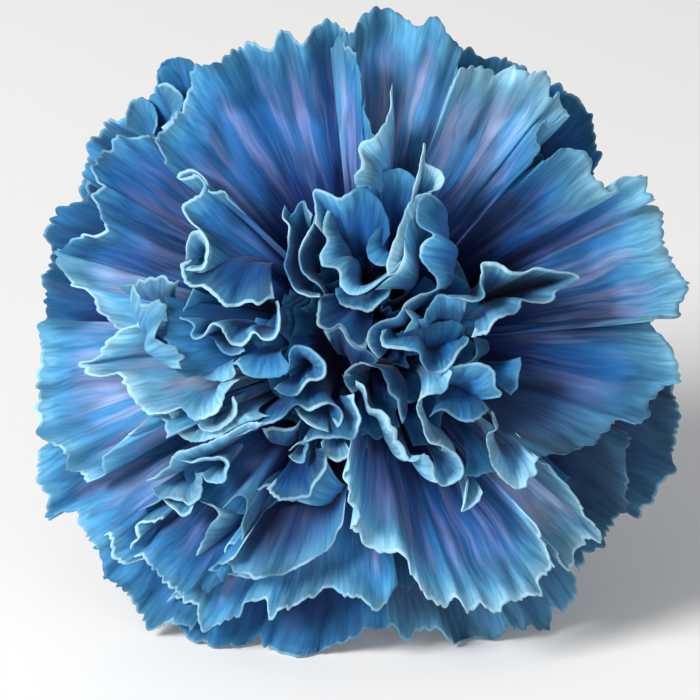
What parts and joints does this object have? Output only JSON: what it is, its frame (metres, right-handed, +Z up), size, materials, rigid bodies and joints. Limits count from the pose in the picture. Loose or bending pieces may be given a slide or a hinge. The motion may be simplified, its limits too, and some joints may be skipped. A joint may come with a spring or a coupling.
{
  "type": "dyed carnation",
  "caption": "Cut double carnation dyed blue, with fringed and ruffled petals in a green toothed calyx on a short leafy stem, lying on its side with the face up and forwards.",
  "frame": {"origin": "on the table, under the middle of the whole flower's box", "axes": "+Z up from the table; -Y is the way the bloom faces, and the stem runs back along +Y; +X is to the right as the face is seen"},
  "size_m": [0.0808, 0.0952, 0.0736],
  "materials": {
    "petal": "matte",
    "calyx": "satin",
    "scale": "satin",
    "pistil": "satin",
    "stem": "satin",
    "leaf": "satin"
  },
  "bodies": {
    "root": {"bloom": "petal", "calyx": "calyx", "epicalyx": "scale", "pistil": "pistil", "stem": "stem", "leaf_1": "leaf", "leaf_2": "leaf"}
  },
  "joints": []
}
